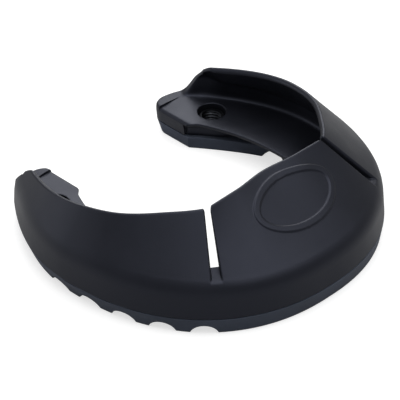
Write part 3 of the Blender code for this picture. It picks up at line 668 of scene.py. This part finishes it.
def panel(start, stop, columns, rows, mirrored):
    """Rings of a cuff panel between two root arcs, and its inward normals. A mirrored panel, the
    toe's, starts on the mirror plane and its corner falls by two quarter rounds. A quarter's front
    corner falls by one, and its rear corner by the square of the distance from where it starts."""
    near = [1] if mirrored else [0, 1]
    t = spaced(0, 1, 1 / columns, near, 0.0002 / (stop - start), 0.0020 / (stop - start))[:, None]
    low = np.array([-10, -5, -1, 1, 3, 6, 9, 12, 15, 20]) * 0.0001
    share = np.concatenate([np.zeros(len(low)), np.linspace(0, 1, rows)[1:]])
    arc = start + (stop - start) * t + 0 * share
    _, run, _, length = cuff_line(arc)
    top = length - (ROOT_Z - SHOULDER_Z) / run[..., 2]
    if mirrored:
        side = stop - arc
        top = top - 2 * fall_back(side, CORNER_ROUND)
    else:
        side = np.minimum(arc - start, stop - arc)
        rear = np.clip(1 - (stop - arc) / REAR_RUN, 0, 1)
        top = top - fall_back(arc - start, CORNER_ROUND) - REAR_FALL * rear ** 2
    below_top = np.concatenate([low, np.full(rows - 1, low[-1])])
    above = below_top + share * (top - EDGE_ROUND - low[-1])
    outer, inner, inward = wall(arc, above, side, top - above)
    over = 1 - np.sin(np.linspace(0, np.pi / 2, 7)[1:])
    crest = top[:, -1:] - EDGE_ROUND * over
    outer_top, inner_top, _ = wall(
        arc[:, -1:] + 0 * over, crest, side[:, -1:] + 0 * over, top[:, -1:] - crest)
    return np.concatenate([outer, outer_top, inner_top[:, ::-1], inner[:, ::-1]], 1), inward


def ring_height(points):
    """Height of the plain oval ring in relief on the toe: a flat band 2.6 mm wide inside an ellipse
    of 37.8 by 21.6 mm, its two edges sloped over 0.6 mm. The distance to the ellipse is (1 - r)
    over the gradient of its radius r."""
    x, up = points[..., 0] - RING_X, (points[..., 2] - RING_Z) / RING_FLATTEN
    radius = np.maximum(np.hypot(x / RING_HALF, up / RING_TALL), 1e-6)
    gradient = np.maximum(np.hypot(x / RING_HALF ** 2, up / RING_TALL ** 2), 1e-6)
    inside = (1 - radius) * radius / gradient
    return RING_HIGH * fade(inside, -0.0002, 0.0004) * (1 - fade(inside, 0.0022, 0.0028))


toe_rings, toe_inward = panel(0, SLOT_ARC - SLOT_HALF, columns=170, rows=104, mirrored=True)
toe_rings, toe_inward = both_halves(toe_rings), both_halves(toe_inward)
toe_face = toe_rings[:, :toe_inward.shape[1]]
toe_face -= toe_inward * ring_height(toe_face)[..., None]
toe = skin("toe_cuff_panel", toe_rings)
toe.data.materials.append(satin)
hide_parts("toe_panel")
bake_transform(toe)

quarter_rings, _ = panel(SLOT_ARC + SLOT_HALF, RIM_END, columns=190, rows=40, mirrored=False)
for name, body_name, side in (
    ("left_quarter", "left_cuff", 1), ("right_quarter", "right_cuff", -1),
):
    quarter = skin(name + "_cuff_panel", quarter_rings * [side, 1, 1])
    quarter.data.materials.append(satin)
    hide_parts(name + "_panel")
    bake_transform(quarter)


# Floor, light and camera: a white studio table, a wide softbox overhead, a second one behind to the
# right that the flat heels mirror, a weak third one behind to the left, and the photograph's long
# lens.
TABLE_HALF, TABLE_Z = 3, -0.00005
floor_mesh = bpy.data.meshes.new("studio_table")
floor_corners = np.array([(-1, -1, 0), (1, -1, 0), (1, 1, 0), (-1, 1, 0)]) * TABLE_HALF
floor_mesh.from_pydata((floor_corners + [0, 0, TABLE_Z]).tolist(), [], [(0, 1, 2, 3)])
floor = bpy.data.objects.new("studio_table", floor_mesh)
bpy.context.scene.collection.objects.link(floor)

# Painted board: the camera and reflections see it near white, while for all other rays it is a
# mid grey, so that it throws little light back up at the object. It keeps the object's shadow.
table, table_shader = new_material("white_table")
table_shader.inputs["Base Color"].default_value = linear("#6f6f6f")
table_shader.inputs["Roughness"].default_value = 0.9
table_shader.inputs["Specular IOR Level"].default_value = 0.0
white = add(table, "ShaderNodeBsdfDiffuse", Color=linear("#c4c4c4"))
ray = add(table, "ShaderNodeLightPath")
lift = add(table, "ShaderNodeMath", {0: (ray, "Is Camera Ray")}, operation="MULTIPLY")
lift.inputs[1].default_value = 0.65
glow = add(table, "ShaderNodeEmission", {"Strength": (lift, "Value")}, Color=linear("#ffffff"))
shown = add(table, "ShaderNodeAddShader", {0: (white, "BSDF"), 1: (glow, "Emission")})
seen = add(table, "ShaderNodeMath",
           {0: (ray, "Is Camera Ray"), 1: (ray, "Is Glossy Ray")}, operation="MAXIMUM")
seen = add(table, "ShaderNodeMath",
           {0: (seen, "Value"), 1: (ray, "Is Transmission Ray")}, operation="MAXIMUM")
mixed = add(table, "ShaderNodeMixShader",
            {"Fac": (seen, "Value"), 1: (table_shader, "BSDF"), 2: (shown, "Shader")})
surface = table.node_tree.nodes["Material Output"].inputs["Surface"]
table.node_tree.links.new(mixed.outputs["Shader"], surface)
floor_mesh.materials.append(table)

world = bpy.data.worlds.new("studio")
world.use_nodes = True
bpy.context.scene.world = world
sky = world.node_tree.nodes["Background"]
sky.inputs["Color"].default_value = linear("#ffffff")
sky.inputs["Strength"].default_value = 0.38


def soft_light(name, place, size, power):
    """A square area light that looks from its place at the middle of the shoe."""
    lamp = bpy.data.lights.new(name, "AREA")
    lamp.size = size
    lamp.energy = power
    light = bpy.data.objects.new(name, lamp)
    light.location = place
    to_shoe = Vector((0, 0, 0.02)) - Vector(place)
    light.rotation_euler = to_shoe.to_track_quat("-Z", "Y").to_euler()
    bpy.context.scene.collection.objects.link(light)


soft_light("overhead_softbox", (0.05, -0.15, 1.15), size=1.25, power=10.0)
soft_light("back_softbox", (0.72, 0.74, 0.74), size=0.80, power=6.2)
soft_light("side_softbox", (-0.65, 0.95, 0.42), size=0.80, power=2.0)

lens = bpy.data.cameras.new("photograph")
lens.sensor_width = 36.0
lens.lens = 36.0 * 3293.48 / 400
lens.clip_end = 20.0
camera = bpy.data.objects.new("photograph", lens)
turn = Matrix(((0.70613742, 0.42587403, -0.56568653), (-0.70804091, 0.41686992, -0.56999785),
               (-0.00692959, 0.80302601, 0.59590369)))
camera.matrix_world = Matrix.Translation((-0.66701, -0.66630, 0.71153)) @ turn.to_4x4()
bpy.context.scene.collection.objects.link(camera)
bpy.context.scene.camera = camera
bpy.context.scene.view_settings.view_transform = "Standard"
